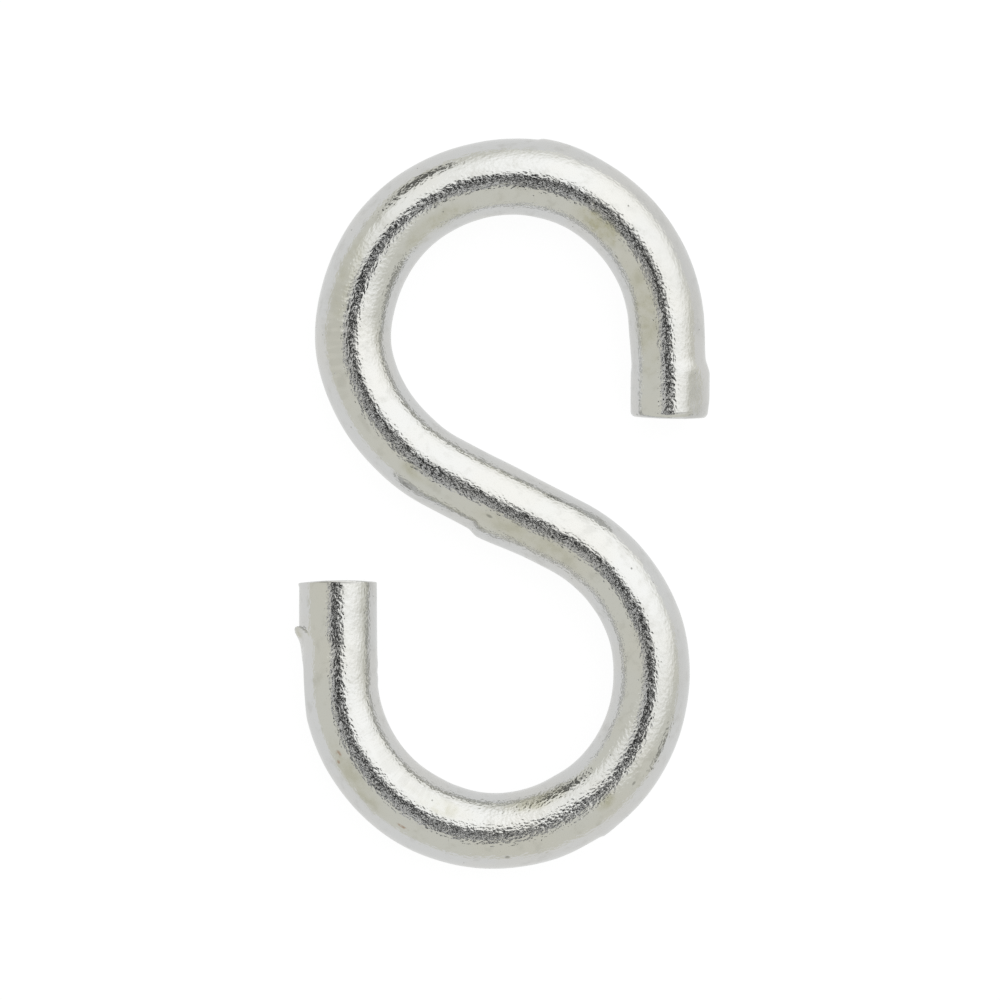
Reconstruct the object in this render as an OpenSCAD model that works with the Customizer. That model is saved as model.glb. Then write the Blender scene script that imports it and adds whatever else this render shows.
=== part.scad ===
// S hook bent from one length of round wire, whose two ends are sheared off square.
// It lies on its side: the middle line of the wire is in one level plane, +Z is up,
// +Y points to the upper hook and +X to the side on which the upper hook is open.
// The origin is on the surface that the hook lies on, under the middle of its outline.

/* [Wire] */
// Diameter of the round wire
wire_d = 5; // [4:0.1:6]

/* [Middle run] */
// Length of the straight run between the two bends
middle_len = 9.4; // [6:0.1:20]
// Angle by which the straight run falls to the right, from level
middle_fall = 27.2; // [10:0.1:45]

/* [Upper hook] */
// Radius of the upper bend, to the middle of the wire
upper_bend_r = 10.25; // [9:0.05:15]
// Angle that the upper bend turns through
upper_bend_angle = 239.4; // [200:0.1:250]
// Straight length from the upper bend to the sheared face
upper_end_len = 6.2; // [5.2:0.1:9]

/* [Lower hook] */
// Radius of the lower bend, to the middle of the wire
lower_bend_r = 10.25; // [9:0.05:15]
// Angle that the lower bend turns through
lower_bend_angle = 243.8; // [200:0.1:250]
// Straight length from the lower bend to the sheared face
lower_end_len = 5.9; // [5.2:0.1:9]

/* [Gripped ends] */
// Length back from each sheared face that the shear held
grip_len = 3.1; // [2:0.1:3.8]
// Distance by which the shear spread the wire sideways, in the plane of the hook
grip_spread = 0.3; // [0.28:0.01:0.5]
// Radius of the worn rim of the upper sheared face
upper_rim_r = 0.32; // [0.05:0.01:0.6]
// Radius of the crisp rim of the lower sheared face
lower_rim_r = 0.08; // [0.03:0.01:0.6]
// Height by which the middle of each sheared face stands above its rim
face_crown = 0.12; // [0.03:0.01:0.3]
// Angle by which the upper gripped length leans to the inside of its hook
upper_lean = 4; // [0:0.1:6]
// Angle by which the lower gripped length leans to the outside of its hook
lower_lean = 1.2; // [0:0.1:3]
// Distance that the upper gripped length stands off to the outside of its hook
upper_stand_off = 0.05; // [0:0.01:0.15]
// Distance that the lower gripped length stands off to the outside of its hook
lower_stand_off = 0.14; // [0:0.01:0.15]

/* [Necks behind the grips] */
// Loss of the wire's diameter along the upper straight end
upper_neck_draw = 0.13; // [0.06:0.01:0.5]
// Loss of the wire's diameter along the lower straight end
lower_neck_draw = 0.16; // [0.06:0.01:0.5]
// Length of the shoulder from the upper neck to its gripped length
upper_shoulder_len = 0.6; // [0.3:0.1:1.4]
// Length of the shoulder from the lower neck to its gripped length
lower_shoulder_len = 1.2; // [0.3:0.1:1.4]

/* [Forming marks] */
// Height of the ridge on the underside of the middle run
run_ridge_h = 0.25; // [0.1:0.01:0.5]
// Length over which that ridge dies away towards the lower bend
run_ridge_len = 4; // [2:0.1:6]
// Length of the ridge's steep face
run_ridge_face = 0.9; // [0.4:0.1:1.5]
// Distance of the ridge's peak from the end of the upper bend
run_ridge_at = 4.4; // [2:0.1:5]
// Height of the ridge round the top of the upper bend
top_ridge_h = 0.1; // [0.05:0.01:0.2]
// Angle of the upper bend over which the top ridge rises
top_ridge_angle = 31; // [24:1:50]
// Angle from the start of the straight upper end to the top ridge's steep face
top_ridge_at = 77; // [60:1:110]
// Height of the nick round the foot of the lower bend
foot_nick_h = 0.07; // [0.05:0.01:0.3]
// Length of wire over which the foot nick rises
foot_nick_len = 1.3; // [0.8:0.1:3]
// Angle from the start of the lower bend to the foot nick's steep face
foot_nick_at = 119; // [60:1:150]
// Depth of the dent that the bending tool left beside the lower neck
dent_depth = 0.16; // [0.05:0.01:0.4]
// Radius of the tool that left it
dent_r = 12; // [6:0.5:20]
// Distance of that dent's deepest point from the end of the lower bend, back along the wire
dent_back = 0.6; // [0:0.1:1.5]
// Length of the chip that the shear raised beside the lower gripped length
chip_len = 1.1; // [0.4:0.05:1.5]
// Height of that chip
chip_h = 0.3; // [0.1:0.05:0.6]
// Width of that chip
chip_w = 2; // [0.6:0.1:2.5]

/* [Hidden] */
$fn = 96;

wire_r = wire_d / 2;
// Each straight end starts inside its bend, a little thinner than the wire,
// so that the two are one piece of metal
end_lap = wire_d / 10;
end_root_r = 0.98 * wire_r;
// Depth inside the neck at which the shoulder of a gripped length starts,
// and the height of that length above the end of its neck
shoulder_sink = wire_d / 50;
shoulder_rise = wire_d / 250;
// A ridge is the crest of a thinner round body sunk into the wire:
// the radius of that body, and its depth where the ridge dies away
ridge_r = 0.44 * wire_d;
ridge_sink = wire_d / 200;
// Share of the chip's length that is on its steep side
chip_steep = 0.2;

// Radius of a neck where it meets its gripped length
function neck_r(neck_draw) = wire_r - neck_draw / 2;

// Half the height of a gripped length, and the distance from its middle to each of its sides
function held_r(neck_draw) = neck_r(neck_draw) + shoulder_rise;
function held_side(neck_draw) = held_r(neck_draw) + grip_spread / 2;

// A point turned about the origin
function turned(p, a) = [p.x * cos(a) - p.y * sin(a), p.x * sin(a) + p.y * cos(a)];

// A point given in the frame of a straight end, in the frame where its bend begins
function from_end(p, bend_r, bend_angle) =
    [0, -bend_r] + turned([0, bend_r] + p, -bend_angle);

// A point given in a gripped length's frame, in the frame of its straight end
function from_grip(p, end_len, stand_off, lean) =
    [end_len - grip_len, stand_off] + turned(p, lean);

// The crest of a ridge round a bend, at the given bearing from the bend's centre
function crest(bend_r, height, bearing) =
    [0, -bend_r] + turned([bend_r + wire_r + height, 0], bearing);

// A point given in the frame where the upper or the lower bend begins, in the hook's level plane
function on_upper(p) = turned([middle_len / 2, 0] + p, 180 - middle_fall);
function on_lower(p) = turned([middle_len / 2, 0] + p, -middle_fall);

// Whether a bend turns far enough for its own side to reach out past its straight end
function turns_past(bend_angle) = bend_angle + middle_fall > 270;

// The outer side of the upper gripped length, at its root and at its rim
upper_held = held_side(upper_neck_draw);
upper_side = [
    for (x = [0, grip_len - upper_rim_r])
        on_upper(from_end(from_grip([x, upper_held], upper_end_len, upper_stand_off, -upper_lean),
            upper_bend_r, upper_bend_angle))
];

// The outer side of the lower gripped length, at its root and at its rim, and the chip's tip
lower_held = held_side(lower_neck_draw);
lower_side = [
    for (p = [[0, lower_held], [grip_len - lower_rim_r, lower_held], [0, lower_held + chip_h]])
        on_lower(from_end(from_grip(p, lower_end_len, lower_stand_off, lower_lean),
            lower_bend_r, lower_bend_angle))
];

upper_centre = on_upper([0, -upper_bend_r]);
lower_centre = on_lower([0, -lower_bend_r]);
upper_reach = upper_bend_r + wire_r;
lower_reach = lower_bend_r + wire_r;
top_crest = on_upper(crest(upper_bend_r, top_ridge_h, 90 - upper_bend_angle + top_ridge_at));
foot_crest = on_lower(crest(lower_bend_r, foot_nick_h, 90 - foot_nick_at));

left = min([
    for (p = lower_side) p.x,
    upper_centre.x - upper_reach,
    if (turns_past(lower_bend_angle)) lower_centre.x - lower_reach
]);
right = max([
    for (p = upper_side) p.x,
    lower_centre.x + lower_reach,
    if (turns_past(upper_bend_angle)) upper_centre.x + upper_reach
]);
top = max(upper_centre.y + upper_reach, top_crest.y);
bottom = min(lower_centre.y - lower_reach, foot_crest.y);

// A straight length of wire along X
module straight(length, d) {
    rotate([0, 90, 0]) cylinder(h = length, d = d);
}

// An arc of wire that starts at the origin, heads along X and turns to the right
module bend(bend_r, bend_angle) {
    translate([0, -bend_r, 0])
        rotate_extrude(angle = bend_angle, start = 90 - bend_angle)
            translate([bend_r, 0])
                circle(d = wire_d);
}

// Moves its children to the end of such an arc, with X along the wire and Y to the outside
module after_bend(bend_r, bend_angle) {
    translate([0, -bend_r, 0])
        rotate([0, 0, -bend_angle])
            translate([0, bend_r, 0])
                children();
}

// Half the outline of a gripped length: its shoulder, its flank, its rounded rim and its crowned face
module grip_outline(root_r, flank_r, shoulder_len, rim_r) {
    flank = grip_len - rim_r;
    face_r = flank_r - rim_r;
    crown_r = (face_r * face_r + face_crown * face_crown) / (2 * face_crown);
    polygon([
        [0, -shoulder_len],
        [root_r, -shoulder_len],
        [flank_r, 0],
        [flank_r, flank],
        [0, flank]
    ]);
    translate([face_r, flank])
        circle(r = rim_r);
    intersection() {
        square([face_r, grip_len + face_crown]);
        translate([0, grip_len + face_crown - crown_r])
            circle(r = crown_r, $fn = 720);
    }
}

// The wire between a bend and the gripped length, drawn thinner towards the grip
module neck(end_len, neck_draw) {
    translate([-end_lap, 0, 0])
        rotate([0, 90, 0])
            cylinder(h = end_lap + end_len - grip_len, r1 = end_root_r, r2 = neck_r(neck_draw));
}

// The length that the shear held, with its shoulder and its sheared face. It is wider than it
// is high, so it is two round bodies side by side, each with its shoulder starting in the neck.
module gripped_length(neck_draw, shoulder_len, rim_r, stand_off) {
    for (shift = [-grip_spread / 2, grip_spread / 2]) {
        root_r = neck_r(neck_draw) - shoulder_sink - abs(stand_off + shift);
        translate([0, shift, 0])
            rotate([0, 90, 0])
                rotate_extrude()
                    grip_outline(root_r, held_r(neck_draw), shoulder_len, rim_r);
    }
}

// Moves its children to the root of a gripped length
module at_grip(end_len, stand_off, lean) {
    translate([end_len - grip_len, stand_off, 0])
        rotate([0, 0, lean])
            children();
}

// A chip of metal raised at the root of a gripped length, steep on the side of the sheared face
module chip() {
    root = lower_held - chip_h;
    translate([0, 0, -chip_w / 2])
        linear_extrude(height = chip_w)
            polygon([
                [(chip_steep - 1) * chip_len, root],
                [0, lower_held + chip_h],
                [chip_steep * chip_len, root]
            ]);
}

// A ridge across the underside of the middle run, steep on the upper side
module run_ridge() {
    rise = run_ridge_h + ridge_sink;
    tilt = atan(rise / run_ridge_len);
    translate([run_ridge_at - middle_len / 2, ridge_r - wire_r - run_ridge_h, 0])
        rotate([0, 0, tilt])
            rotate([0, 90, 0])
                rotate_extrude()
                    polygon([
                        [0, -run_ridge_face],
                        [ridge_r - run_ridge_h, -run_ridge_face],
                        [ridge_r, 0],
                        [ridge_r, run_ridge_len],
                        [0, run_ridge_len]
                    ]);
}

// A ridge round the outside of the upper bend, which rises with the angle to a steep face
module top_ridge() {
    ridge_bend_r = upper_reach - ridge_r - ridge_sink;
    shift = (top_ridge_h + ridge_sink) / sin(top_ridge_angle);
    start = -asin(shift / ridge_bend_r);
    end = top_ridge_angle - asin(shift * cos(top_ridge_angle) / ridge_bend_r);
    translate([0, -upper_bend_r, 0])
        rotate([0, 0, 90 - upper_bend_angle + top_ridge_at - top_ridge_angle])
            translate([0, shift, 0])
                rotate_extrude(angle = end - start, start = start)
                    translate([ridge_bend_r, 0])
                        circle(r = ridge_r);
}

// A nick across the outside of the lower bend, which rises along the wire to a steep face
module foot_nick() {
    fall_of_bend = foot_nick_len * foot_nick_len / (2 * lower_reach);
    tilt = atan((foot_nick_h + ridge_sink + fall_of_bend) / foot_nick_len);
    translate([0, -lower_bend_r, 0])
        rotate([0, 0, -foot_nick_at])
            translate([0, lower_reach + foot_nick_h - ridge_r, 0])
                rotate([0, 0, tilt])
                    rotate([0, -90, 0])
                        cylinder(h = foot_nick_len, r = ridge_r);
}

// The tool that dents the outside of the wire where the lower bend ends
module dent_tool() {
    translate([-dent_back, wire_r - dent_depth + dent_r, -wire_d])
        cylinder(h = 2 * wire_d, r = dent_r, $fn = 360);
}

module upper_hook() {
    bend(upper_bend_r, upper_bend_angle);
    top_ridge();
    after_bend(upper_bend_r, upper_bend_angle) {
        neck(upper_end_len, upper_neck_draw);
        at_grip(upper_end_len, upper_stand_off, -upper_lean)
            gripped_length(upper_neck_draw, upper_shoulder_len, upper_rim_r, upper_stand_off);
    }
}

module lower_hook() {
    difference() {
        union() {
            bend(lower_bend_r, lower_bend_angle);
            foot_nick();
            after_bend(lower_bend_r, lower_bend_angle)
                neck(lower_end_len, lower_neck_draw);
        }
        after_bend(lower_bend_r, lower_bend_angle)
            dent_tool();
    }
    after_bend(lower_bend_r, lower_bend_angle)
        at_grip(lower_end_len, lower_stand_off, lower_lean) {
            gripped_length(lower_neck_draw, lower_shoulder_len, lower_rim_r, lower_stand_off);
            chip();
        }
}

module middle_run() {
    translate([-middle_len / 2, 0, 0])
        straight(middle_len, wire_d);
    run_ridge();
}

module s_hook() {
    color("silver")
        translate([-(left + right) / 2, -(bottom + top) / 2, wire_r])
            rotate([0, 0, -middle_fall]) {
                middle_run();
                translate([middle_len / 2, 0, 0])
                    lower_hook();
                rotate([0, 0, 180])
                    translate([middle_len / 2, 0, 0])
                        upper_hook();
            }
}

s_hook();
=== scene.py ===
import math

import bmesh
import bpy
from mathutils import Matrix, Vector, noise


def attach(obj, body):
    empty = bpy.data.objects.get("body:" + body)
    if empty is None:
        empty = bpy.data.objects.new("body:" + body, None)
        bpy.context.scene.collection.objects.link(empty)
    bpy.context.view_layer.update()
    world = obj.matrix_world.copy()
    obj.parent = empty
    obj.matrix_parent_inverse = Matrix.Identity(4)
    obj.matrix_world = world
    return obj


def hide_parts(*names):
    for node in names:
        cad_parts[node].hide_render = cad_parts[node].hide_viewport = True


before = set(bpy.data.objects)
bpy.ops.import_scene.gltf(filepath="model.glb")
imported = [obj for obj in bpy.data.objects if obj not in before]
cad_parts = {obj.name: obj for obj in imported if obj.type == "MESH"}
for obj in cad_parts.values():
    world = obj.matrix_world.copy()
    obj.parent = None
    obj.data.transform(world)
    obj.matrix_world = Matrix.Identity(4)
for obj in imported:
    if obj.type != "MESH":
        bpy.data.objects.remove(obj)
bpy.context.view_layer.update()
scene = bpy.context.scene
MM = 0.001

# The wire, in millimetres, as the solid has it
WIRE_R = 2.5
MIDDLE_LEN, MIDDLE_FALL = 9.4, math.radians(27.2)
UPPER_R, UPPER_ANGLE, UPPER_END = 10.25, math.radians(239.4), 6.2
LOWER_R, LOWER_ANGLE, LOWER_END = 10.25, math.radians(243.8), 5.9
GRIP_LEN, GRIP_SPREAD = 3.1, 0.15
UPPER_STAND_OFF, UPPER_LEAN = 0.08, math.sin(math.radians(4))
LOWER_STAND_OFF, LOWER_LEAN = 0.16, math.sin(math.radians(1.2))
UPPER_RIM, LOWER_RIM, FACE_CROWN = 0.32, 0.08, 0.12
# Where the middle of the middle run lies, so that the outline is centred on the origin
RUN_MIDDLE = (0.0795, 0)

# Stations along the wire, counted from the upper sheared face
UPPER_ARC = UPPER_END + UPPER_R * UPPER_ANGLE
RUN_END = UPPER_ARC + MIDDLE_LEN
LOWER_ARC = RUN_END + LOWER_R * LOWER_ANGLE
WIRE_LEN = LOWER_ARC + LOWER_END

# Spacing of the rings along the wire as it is swept, the rings then put between two of them,
# and the number of points round each
SWEEP_STEP = 0.55
RING_CUTS = 3
SPOKES = 112
RIM_RINGS = 5
FACE_RINGS = 15


# Camera
CAMERA_HEIGHT = 0.6
VIEW_WIDTH = 65.79 * MM
VIEW_CENTRE = (-0.13 * MM, 0.23 * MM)

camera_data = bpy.data.cameras.new("camera")
camera_data.sensor_width = 36
camera_data.lens = 36 * CAMERA_HEIGHT / VIEW_WIDTH
camera_data.clip_end = 20
camera = bpy.data.objects.new("camera", camera_data)
camera.location = (*VIEW_CENTRE, CAMERA_HEIGHT + WIRE_R * MM)
scene.collection.objects.link(camera)
scene.camera = camera
scene.view_settings.view_transform = "Standard"


# Shader expressions
class Tree:
    """The node tree of a material or of the world."""

    def __init__(self, owner):
        owner.use_nodes = True
        self.nodes = owner.node_tree.nodes
        self.links = owner.node_tree.links
        self.nodes.clear()

    def add(self, kind, output=0, settings=None, inputs=None):
        """Adds a node, sets it, fills its sockets and returns one of its outputs."""
        node = self.nodes.new("ShaderNode" + kind)
        for name, value in (settings or {}).items():
            setattr(node, name, value)
        for name, value in (inputs or {}).items():
            if isinstance(value, Signal):
                self.links.new(value.socket, node.inputs[name])
            else:
                node.inputs[name].default_value = value
        return Signal(self, node.outputs[output] if node.outputs else None)

    def colour(self, share, first, second, blend="MIX"):
        """Mixes two colours, each a value or a link."""
        return self.add("Mix", 2, {"data_type": "RGBA", "blend_type": blend},
                        {0: share, 6: first, 7: second})

    def noise(self, place, scale, detail=2.0, roughness=0.5, **more):
        """Smooth noise from 0 to 1."""
        return self.add("TexNoise", "Fac", more.pop("settings", None),
                        {"Vector": place, "Scale": scale, "Detail": detail,
                         "Roughness": roughness, **more})


class Signal:
    """A link in a tree. Arithmetic on it adds Math nodes."""

    def __init__(self, tree, socket):
        self.tree = tree
        self.socket = socket

    def math(self, operation, *values):
        return self.tree.add("Math", 0, {"operation": operation}, dict(enumerate(values)))

    def __add__(self, other):
        return self.math("ADD", self, other)

    def __sub__(self, other):
        return self.math("SUBTRACT", self, other)

    def __rsub__(self, other):
        return self.math("SUBTRACT", other, self)

    def __mul__(self, other):
        return self.math("MULTIPLY", self, other)

    __radd__ = __add__
    __rmul__ = __mul__

    def step(self, low, high, to_low=0.0, to_high=1.0):
        """Rises smoothly from to_low at low to to_high at high."""
        return self.tree.add("MapRange", 0, {"interpolation_type": "SMOOTHSTEP"},
                             {0: self, 1: low, 2: high, 3: to_low, 4: to_high})

    def at_least(self, other):
        return self.math("MAXIMUM", self, other)

    def squared(self):
        return self.math("POWER", self, 2.0)


def rgb(r, g, b):
    return (r, g, b, 1.0)


# Light: a tent of white cloth, a bright window in it and the dark hole for the lens
TENT = rgb(0.765, 0.76, 0.69)
WINDOW = rgb(1.35, 1.35, 1.33)
SEAM = rgb(0.03, 0.03, 0.03)
# The dim room beyond the hole, lit in patches
ROOM = rgb(0.02, 0.02, 0.02)
ROOM_LIGHT = rgb(0.68, 0.68, 0.67)


def direction(azimuth, polar):
    """Unit vector at an azimuth from +X and an angle from straight up, in degrees."""
    a, p = math.radians(azimuth), math.radians(polar)
    return (math.sin(p) * math.cos(a), math.sin(p) * math.sin(a), math.cos(p))


def hang_tent():
    world = bpy.data.worlds.new("tent")
    scene.world = world
    tree = Tree(world)
    towards = tree.add("TexCoord", "Generated")

    def patch(azimuth, polar, inner, outer):
        """1 within the inner angle of a direction and 0 beyond the outer angle."""
        cosine = tree.add("VectorMath", "Value", {"operation": "DOT_PRODUCT"},
                          {0: towards, 1: direction(azimuth, polar)})
        return cosine.step(math.cos(math.radians(outer)), math.cos(math.radians(inner)))

    window = patch(50, 45, 14, 60).at_least(patch(112, 36, 5, 34) * 0.65)
    hole = patch(240, 13, 20, 24)
    seams = (patch(120, 71, 6, 14) * 0.85).at_least(patch(335, 84, 2, 10) * 0.6)
    room = tree.colour(tree.noise(towards, 9.0, 0.0).step(0.44, 0.64), ROOM, ROOM_LIGHT)
    cloth = tree.colour(window, TENT, WINDOW)
    cloth = tree.colour(seams, cloth, SEAM)
    cloth = tree.colour(hole, cloth, room)
    seen = tree.add("LightPath", "Is Camera Ray")
    cloth = tree.colour(seen, cloth, rgb(1, 1, 1))
    light = tree.add("Background", 0, None, {"Color": cloth, "Strength": 1.0})
    tree.add("OutputWorld", 0, None, {"Surface": light})


# The table
TABLE_WHITE = 1.08
# Its share of that white in the wire
TABLE_MIRRORED = rgb(0.82, 0.82, 0.815)


def lay_table():
    bm = bmesh.new()
    bmesh.ops.create_grid(bm, x_segments=1, y_segments=1, size=3)
    mesh = bpy.data.meshes.new("table")
    bm.to_mesh(mesh)
    bm.free()
    table = bpy.data.objects.new("table", mesh)
    scene.collection.objects.link(table)
    material = bpy.data.materials.new("table_white")
    mesh.materials.append(material)
    tree = Tree(material)
    paint = tree.add("BsdfDiffuse", 0, None, {"Color": rgb(0.87, 0.88, 0.92)})
    seen = tree.add("LightPath", "Is Camera Ray")
    mirrored = tree.add("LightPath", "Is Glossy Ray")
    white = tree.colour(mirrored, rgb(1, 1, 1), TABLE_MIRRORED)
    glow = tree.add("Emission", 0, None, {"Color": white, "Strength": TABLE_WHITE})
    through = tree.add("LightPath", "Is Transmission Ray")
    share = seen.at_least(through) * 0.85
    surface = tree.add("MixShader", 0, None,
                       {0: share.at_least(mirrored * 0.85), 1: paint, 2: glow})
    tree.add("OutputMaterial", 0, None, {"Surface": surface})


# The finish: bright zinc plate over drawn wire
ZINC = rgb(0.675, 0.68, 0.675)
WARM_ZINC = rgb(0.675, 0.672, 0.652)
DULL_ZINC = rgb(0.57, 0.57, 0.55)
STAIN = rgb(0.50, 0.49, 0.38)
RUST = rgb(0.42, 0.31, 0.25)
# Dark colour of pits and dirt, also used for the painted shade under the chip's lip
DIRT_AND_SHADE = rgb(0.20, 0.20, 0.19)
# Where the plate is stained: station, distance to the left, half length, half width, strength
STAINS = [(7.0, 1.3, 5.5, 1.0, 0.6), (14.6, 1.1, 2.8, 0.9, 1.2), (28.0, 1.6, 4.0, 0.8, 0.5),
          (34.5, -1.1, 3.5, 0.8, 0.5), (47.8, -0.9, 1.5, 0.6, 0.6), (56.5, -1.2, 5.0, 0.9, 0.5),
          (78.4, 0.8, 0.9, 0.5, 0.9), (82.5, -1.5, 3.0, 0.6, 0.7), (90.0, -0.9, 3.5, 0.7, 0.5),
          (95.5, 1.3, 3.5, 0.7, 0.5), (104.6, 2.75, 0.5, 0.4, 0.8)]
RUST_SPOTS = [(97.1, 1.25, 0.3, 0.2), (96.7, 1.5, 0.16, 0.14), (91.4, 1.4, 0.5, 0.1)]
# Where it is rubbed dull: the flat on the upper end, and less so the outside of the bends' ends
RUBBED = [(1.3, -1.35, 2.3, 1.1), (9.5, -1.5, 7.5, 1.3, 0.45), (69.5, 1.3, 4.5, 1.2, 0.45),
          (104.0, -1.5, 4.5, 1.0, 0.35)]
# Where the grain stands out more
COARSE = [(83.0, 0.2, 9.0, 2.5)]
# Dark lines along the edges of the sheared ends and dirt in a few scratches, and painted shade under
# the chip's lifted lip
DARK_LINES_AND_CHIP_SHADE = [(0.22, -0.55, 0.07, 1.05), (107.95, 0.2, 0.08, 1.8),
         (105.0, 2.66, 0.07, 0.2), (104.92, 2.5, 0.07, 0.2), (104.8, 2.36, 0.07, 0.18),
         (104.66, 2.22, 0.07, 0.16), (11.9, 1.75, 0.25, 0.07), (53.3, -1.15, 0.3, 0.12),
         (76.45, 1.25, 0.2, 0.1), (85.1, 1.7, 0.2, 0.12)]
# Where the outside of the bends is wrinkled across the wire
WRINKLES = [(37.5, -1.5, 7.5, 1.1), (94.0, -1.3, 6.0, 1.0)]


def zinc_plate():
    material = bpy.data.materials.new("zinc_plate")
    tree = Tree(material)
    place = tree.add("Attribute", "Vector", {"attribute_name": "unbent"})
    along = tree.add("SeparateXYZ", "X", None, {"Vector": place})
    left = tree.add("SeparateXYZ", "Y", None, {"Vector": place})

    def near(station, side, half_length, half_width, strength=1.0):
        """Rises to its strength in the middle of an oval on the wire from 0 outside it."""
        far = ((along - station) * (1 / half_length)).squared() \
            + ((left - side) * (1 / half_width)).squared()
        return far.step(0, 1, strength, 0)

    def any_of(spots):
        share = near(*spots[0])
        for spot in spots[1:]:
            share = share.at_least(near(*spot))
        return share

    clouds = tree.noise(place, 0.22, 3.0, 0.55)
    blots = tree.noise(place, 1.1, 3.0, 0.6)
    drawn = tree.add("VectorMath", "Vector", {"operation": "MULTIPLY"},
                     {0: place, 1: (0.85, 1.15, 1.15)})
    grain = tree.noise(drawn, 5.0, 1.0, 0.4)
    cells = {"Vector": place, "Scale": 1.15}
    pit = tree.add("TexVoronoi", "Distance", None, cells).step(0.03, 0.085, 1, 0)
    pit = pit * tree.noise(place, 0.7, 1.0, 0.5).step(0.46, 0.56)
    squeezed = tree.add("VectorMath", "Vector", {"operation": "MULTIPLY"},
                        {0: place, 1: (3.4, 0.5, 0.5)})
    wrinkle = tree.noise(squeezed, 1.0, 1.0, 0.5) * any_of(WRINKLES)

    colour = tree.colour(clouds.step(0.4, 0.65), ZINC, WARM_ZINC)
    colour = tree.colour(blots.step(0.5, 0.75, 0, 0.7), colour, DULL_ZINC)
    stain = any_of(STAINS) * blots.step(0.33, 0.66, 0.25, 0.9)
    colour = tree.colour(stain, colour, STAIN)
    colour = tree.colour(any_of(RUST_SPOTS) * grain.step(0.35, 0.6) * 0.9, colour, RUST)
    # Dark pits, dark lines on the sheared ends' edges, dirt in scratches, and painted shade under the
    # chip's lip
    colour = tree.colour((pit * 0.75).at_least(any_of(DARK_LINES_AND_CHIP_SHADE) * 0.6), colour, DIRT_AND_SHADE)
    rubbed = any_of(RUBBED)
    colour = tree.colour(rubbed * blots.step(0.35, 0.6, 0.5, 1.0), colour, DULL_ZINC)
    colour = tree.colour(wrinkle.step(0.3, 0.6, 0, 0.45), colour, DULL_ZINC)
    rough = clouds.step(0.3, 0.7, 0.06, 0.09) + stain * 0.08 + rubbed * 0.16
    height = grain * (any_of(COARSE) * 0.8 + 1.0) + blots * 0.6 - pit * 1.2 + wrinkle * 2.0
    bump = tree.add("Bump", 0, None, {"Height": height, "Distance": 0.023 * MM, "Strength": 1.0})
    metal = tree.add("BsdfPrincipled", 0, None,
                     {"Base Color": colour, "Metallic": 1.0, "Roughness": rough, "Normal": bump})
    tree.add("OutputMaterial", 0, None, {"Surface": metal})
    return material


# Shaping the wire. Along is the distance from the upper face, left and up lie across it
def smooth(x, low, high):
    t = min(1.0, max(0.0, (x - low) / (high - low)))
    return t * t * (3 - 2 * t)


def bell(x, middle, width):
    return math.exp(-((x - middle) / width) ** 2)


# Where the bending tools pushed the wire off its true arc: station, width, distance to the left
KINKS = [
    (18.5, 3.0, -0.045), (25.5, 4.0, 0.06), (38.6, 2.6, -0.15), (45.8, 2.4, 0.10),
    (67.0, 2.6, 0.06), (80.5, 1.3, -0.06), (86.5, 2.0, 0.03),
]
# Where the wire is thicker: station, width, growth of its radius
SWELLINGS = [(19.0, 1.6, 0.05), (32.5, 4.0, 0.03), (91.0, 2.6, 0.06), (53.2, 1.2, 0.03)]


def off_centre(body_r, centre, angle):
    """Distance from the wire's middle line to a round body beside it, at an angle from it."""
    across = centre * math.sin(angle)
    return centre * math.cos(angle) + math.sqrt(max(0.0, body_r * body_r - across * across))


def soft_max(a, b, blend):
    d = a - b
    return 0.5 * (a + b + math.sqrt(d * d + blend * blend))


RIDGE_R = 2.2


def ridge(radius, height, angle):
    """The wire's radius with a ridge of that height at angle 0."""
    if height <= -0.02:
        return radius
    return soft_max(radius, off_centre(RIDGE_R, radius + height - RIDGE_R, angle), 0.02)


# The flat on the upper gripped length: its angle from the top and its distance from the middle
PRESS_ANGLE, PRESS_R = math.radians(43), 2.36

CHIP_AT = WIRE_LEN - GRIP_LEN - 0.1
CHIP_LEN, CHIP_H, CHIP_FACE = 1.2, 0.32, 0.08
# Angles up from the wire's left side, in degrees: the chip's peak, its half width, and the place
# where its lip reaches furthest towards the sheared face
CHIP_PEAK, CHIP_REACH, CHIP_LIP = 8, 33, 22


def chip(along, rise):
    """Height of the chip, at an angle up from the wire's left side."""
    degrees = math.degrees(rise)
    width = 1 - ((degrees - CHIP_PEAK) / CHIP_REACH) ** 2
    if width <= 0:
        return 0.0
    lip = CHIP_AT + 0.22 - 0.40 * ((degrees - CHIP_LIP) / 18) ** 2
    if along > lip:
        return CHIP_H * width * (1 - smooth(along, lip, lip + CHIP_FACE))
    length = CHIP_LEN * (1 - 0.7 * smooth(degrees, 6, 34))
    return CHIP_H * width * max(0.0, 1 - (lip - along) / length) ** 1.4


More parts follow.
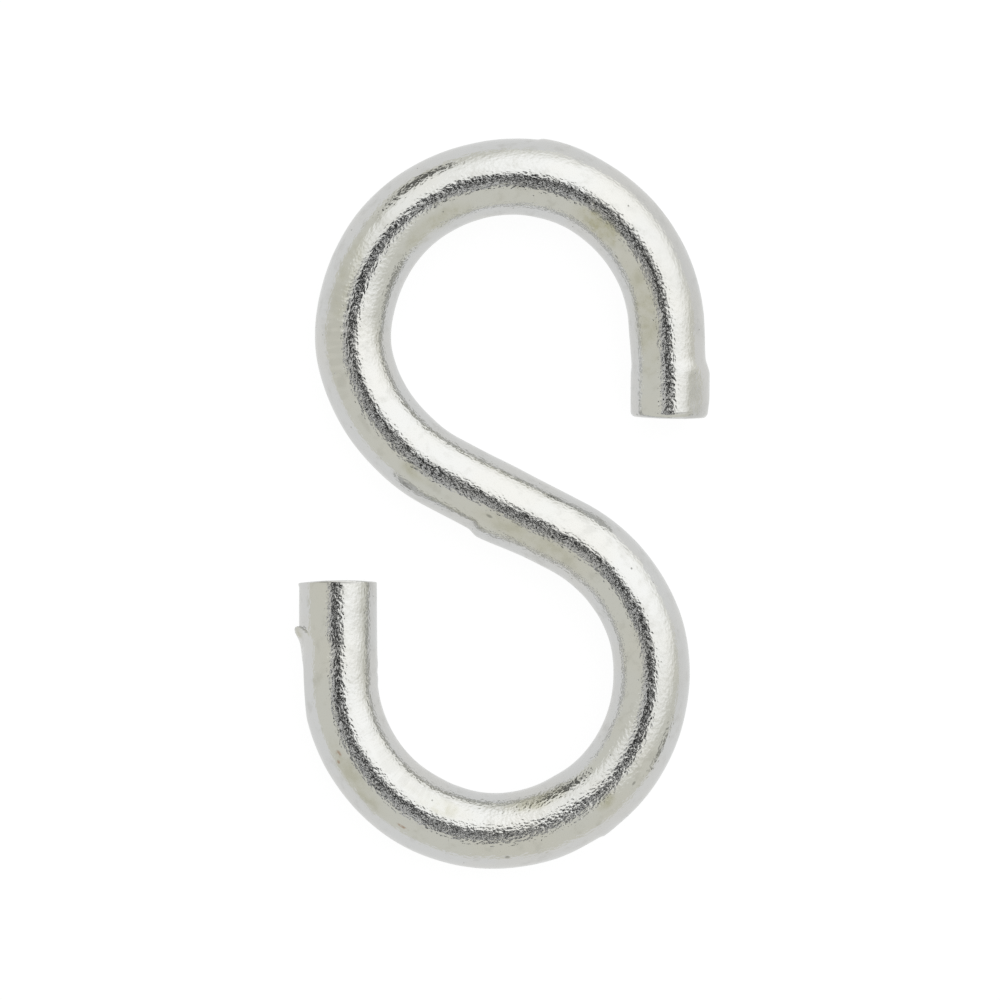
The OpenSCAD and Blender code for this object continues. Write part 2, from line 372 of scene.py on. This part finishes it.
def shaped(along, left, up):
    """Moves a point of the plain wire to where the finished wire has it, before it is bent."""
    radius = math.hypot(left, up)
    around = math.atan2(left, up)
    from_left = around - math.pi / 2
    from_right = around + math.pi / 2
    full = radius / WIRE_R
    r = WIRE_R

    # The middle run's ridge, the top ridge and the nick at the foot
    r = ridge(r, 0.25 * smooth(along, 52.3, 53.2) * (1 - smooth(along, 53.0, 57.4)) - 0.025,
              from_right)
    top = UPPER_END + UPPER_R * math.radians(77)
    r = ridge(r, 0.125 * smooth(along, top - 5.6, top) * (along <= top)
              + 0.125 * (along > top) * (1 - smooth(along, top, top + 0.35)) - 0.025, from_right)
    foot = RUN_END + LOWER_R * math.radians(119)
    r = ridge(r, 0.095 * smooth(along, foot - 1.3, foot) * (along <= foot)
              + 0.095 * (along > foot) * (1 - smooth(along, foot, foot + 0.2)) - 0.025, from_left)

    # The necks drawn thin behind the gripped ends
    r -= 0.065 * (1 - smooth(along, 3.4, 6.4)) + 0.08 * smooth(along, LOWER_ARC - 0.4, LOWER_ARC + 2.6)

    for station, width, growth in SWELLINGS:
        r += growth * bell(along, station, width)

    # The dent beside the lower neck
    dent_at = LOWER_ARC - 0.6
    depth = 0.16 - (along - dent_at) ** 2 / (2 * 12)
    facing = math.cos(from_left)
    if depth > 0 and facing > 0.5:
        r = min(r, (WIRE_R - depth) / facing)

    # Slow unevenness of drawn wire that was bent and tumbled
    point = Vector((along / 5.5, left / WIRE_R, up / WIRE_R))
    r += 0.035 * noise.noise(point) + 0.012 * noise.noise(point * 3.1)
    point = Vector((along, left, up))
    r += 0.0045 * noise.noise(point * 1.1) + 0.0022 * noise.noise(point * 2.3)

    # The gripped ends, spread sideways, and the flat that the shear pressed into the upper one
    upper = 1 - smooth(along, GRIP_LEN - 0.3, GRIP_LEN + 0.65)
    lower = smooth(along, WIRE_LEN - GRIP_LEN - 1.2, WIRE_LEN - GRIP_LEN)
    r += GRIP_SPREAD * max(upper, lower) * math.sin(around) ** 2
    from_press = around + PRESS_ANGLE
    if upper > 0 and abs(from_press) < math.radians(50):
        press_r = PRESS_R + 0.08 * (along / 1.7 - 1) ** 2
        flat = -soft_max(-r, -press_r / math.cos(from_press), 0.08)
        r += (flat - r) * (1 - smooth(along, GRIP_LEN - 0.6, GRIP_LEN + 0.4))

    # The outer corner of the upper end, worn rounder
    r -= 0.13 * (1 - smooth(along, -0.2, 1.4)) * max(0.0, math.cos(from_right)) ** 2

    # Lumps inside the lower neck
    lumpy = bell(along, LOWER_ARC - 0.6, 1.5) * max(0.0, math.cos(from_right)) ** 2
    r += 0.05 * lumpy * noise.noise(point * 1.7)

    # The underside, rubbed level where it lies on the table
    if up < 0:
        r = -soft_max(-r, radius * WIRE_R / up, 0.01)

    # The burr at the corner of the lower sheared face, and the chip
    r += 0.05 * smooth(along, WIRE_LEN - 0.35, WIRE_LEN - LOWER_RIM) * max(0.0, facing) ** 4
    lifted = chip(along, -from_left)
    r += lifted
    along += 0.45 * lifted

    left, up = left * r / radius * full, up * r / radius * full
    for station, width, shift in KINKS:
        left += shift * bell(along, station, width)
    left -= (UPPER_STAND_OFF - UPPER_LEAN * (GRIP_LEN - along)) * upper
    left += (LOWER_STAND_OFF + LOWER_LEAN * (along - WIRE_LEN + GRIP_LEN)) * lower

    # The sheared faces, their lower part torn instead of cut, and both crowned across the wire
    if full < 0.97:
        torn = smooth(0.3 * noise.noise(point * 0.9) - up, -0.1, 0.25) * (1 - smooth(full, 0.8, 0.95))
        inward = 0.11 * torn * (0.6 + noise.noise(point * 2.4))
        along += inward if along < 1 else -inward
    crown = FACE_CROWN * (1 - (left / WIRE_R) ** 2)
    along += crown * (smooth(along, WIRE_LEN - 1, WIRE_LEN) - 1 + smooth(along, 0, 1))
    along += (UPPER_LEAN * upper - LOWER_LEAN * lower) * left
    return Vector((along, left, up))


# Sweeping the wire
def move_ahead(length):
    return Matrix.Translation((length * MM, 0, 0))


def move_round(radius, angle):
    """The move round an arc: to the left for a positive angle, or else to the right."""
    side = math.copysign(radius * MM, angle)
    turn = Matrix.Rotation(angle, 4, "Z")
    return Matrix.Translation((0, side, 0)) @ turn @ Matrix.Translation((0, -side, 0))


MIDDLE = (Matrix.Translation(Vector((*RUN_MIDDLE, WIRE_R)) * MM)
          @ Matrix.Rotation(-MIDDLE_FALL, 4, "Z"))
RUN_START = MIDDLE @ move_ahead(-MIDDLE_LEN / 2)
UPPER_START = RUN_START @ move_round(UPPER_R, UPPER_ANGLE).inverted() @ move_ahead(-UPPER_END)


def place_at(along):
    """The frame at a station: X along the wire, Y to its left and Z up."""
    place = UPPER_START @ move_ahead(min(along, UPPER_END))
    if along > UPPER_END:
        place = place @ move_round(UPPER_R, (min(along, UPPER_ARC) - UPPER_END) / UPPER_R)
    if along > UPPER_ARC:
        place = place @ move_ahead(min(along, RUN_END) - UPPER_ARC)
    if along > RUN_END:
        place = place @ move_round(LOWER_R, -(min(along, LOWER_ARC) - RUN_END) / LOWER_R)
    if along > LOWER_ARC:
        place = place @ move_ahead(along - LOWER_ARC)
    return place


def only(elements, kind):
    return [e for e in elements if isinstance(e, kind)]


class Sweep:
    """A tube swept along the wire's path from a ring of points. Each point notes where it
    lies on the straight wire that the hook was bent from: along it, to its left and up."""

    def __init__(self, along):
        self.bm = bmesh.new()
        self.unbent = self.bm.verts.layers.float_vector.new("unbent")
        self.along = along
        across = Matrix.Rotation(math.radians(90), 4, "Y")
        bmesh.ops.create_circle(self.bm, segments=SPOKES, radius=WIRE_R * MM, matrix=across)
        for vert in self.bm.verts:
            vert[self.unbent] = vert.co / MM + Vector((along, 0, 0))
        bmesh.ops.transform(self.bm, matrix=place_at(along), verts=self.bm.verts)
        self.first = self.last = self.bm.verts[:] + self.bm.edges[:]

    def spin(self, length, **how):
        count, steps = len(self.bm.verts), round(length / SWEEP_STEP)
        if "dvec" in how:
            how["dvec"] = how["dvec"] / steps
        made = bmesh.ops.spin(self.bm, geom=self.last, axis=(0, 0, 1), steps=steps, **how)
        self.last = made["geom_last"]
        self.bm.verts.ensure_lookup_table()
        for k in range(count, len(self.bm.verts)):
            ring = (k - count) // SPOKES + 1
            self.bm.verts[k][self.unbent].x = self.along + ring * length / steps
        self.along += length

    def ahead(self, length):
        reach = place_at(self.along).to_3x3() @ Vector((length * MM, 0, 0))
        self.spin(length, angle=0, dvec=reach)

    def round(self, radius, angle):
        centre = place_at(self.along) @ Vector((0, math.copysign(radius * MM, angle), 0))
        self.spin(radius * abs(angle), angle=angle, cent=centre)

    def refine(self):
        """Cuts each length between two rings into shorter ones."""
        lengthwise = [e for e in self.bm.edges
                      if abs(e.verts[0][self.unbent].x - e.verts[1][self.unbent].x) > 0.01]
        bmesh.ops.subdivide_edgering(self.bm, edges=lengthwise, cuts=RING_CUTS,
                                     interp_mode="LINEAR", profile_shape="SMOOTH")

    def refine_chip(self):
        """Makes the mesh finer where the chip is to be raised."""
        around_chip = set()
        for face in self.bm.faces:
            along, left, up = sum((v[self.unbent] for v in face.verts), Vector()) / len(face.verts)
            rise = math.degrees(math.atan2(up, left))
            if (-CHIP_LEN < along - CHIP_AT < CHIP_FACE + 0.4
                    and abs(rise - CHIP_PEAK) < CHIP_REACH + 4):
                around_chip.update(face.edges)
        bmesh.ops.subdivide_edges(self.bm, edges=list(around_chip), cuts=2, use_grid_fill=True)

    def close(self, rim, along, outward, rim_r):
        """Closes an end with a rounded rim and a flat face."""
        flat_r = WIRE_R - rim_r
        profile = []
        for k in range(1, RIM_RINGS + 1):
            angle = math.radians(90 * k / RIM_RINGS)
            profile.append((flat_r + rim_r * math.cos(angle), rim_r * math.sin(angle)))
        for k in range(1, FACE_RINGS + 1):
            profile.append((flat_r * (1 - k / (FACE_RINGS + 0.6)), rim_r))
        edges = only(rim, bmesh.types.BMEdge)
        last_radius = WIRE_R
        for radius, reach in profile:
            made = bmesh.ops.extrude_edge_only(self.bm, edges=edges)["geom"]
            verts = only(made, bmesh.types.BMVert)
            inside = set(verts)
            edges = [e for e in only(made, bmesh.types.BMEdge) if inside.issuperset(e.verts)]
            for vert in verts:
                left, up = vert[self.unbent].yz * (radius / last_radius)
                vert[self.unbent] = (along + outward * reach, left, up)
            last_radius = radius
        bmesh.ops.contextual_create(self.bm, geom=edges)


def bend_wire(finish):
    wire = Sweep(UPPER_RIM)
    wire.ahead(UPPER_END - UPPER_RIM)
    wire.round(UPPER_R, UPPER_ANGLE)
    wire.ahead(MIDDLE_LEN)
    wire.round(LOWER_R, -LOWER_ANGLE)
    wire.ahead(LOWER_END - LOWER_RIM)
    ends = (wire.first, wire.last)
    wire.refine()
    wire.close(ends[0], UPPER_RIM, -1, UPPER_RIM)
    wire.close(ends[1], WIRE_LEN - LOWER_RIM, 1, LOWER_RIM)
    wire.refine_chip()
    bm, unbent = wire.bm, wire.unbent
    for vert in bm.verts:
        vert[unbent] = shaped(*vert[unbent])
        along, left, up = vert[unbent]
        station = min(max(along, 0.0), WIRE_LEN)
        vert.co = place_at(station) @ (Vector((along - station, left, up)) * MM)
    bmesh.ops.recalc_face_normals(bm, faces=bm.faces)
    for face in bm.faces:
        face.smooth = True

    mesh = bpy.data.meshes.new("bent_wire")
    bm.to_mesh(mesh)
    bm.free()
    mesh.materials.append(finish)
    hook = bpy.data.objects.new("bent_wire", mesh)
    scene.collection.objects.link(hook)
    return hook


hang_tent()
lay_table()
hook = bend_wire(zinc_plate())
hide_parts("s_hook")
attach(hook, "root")
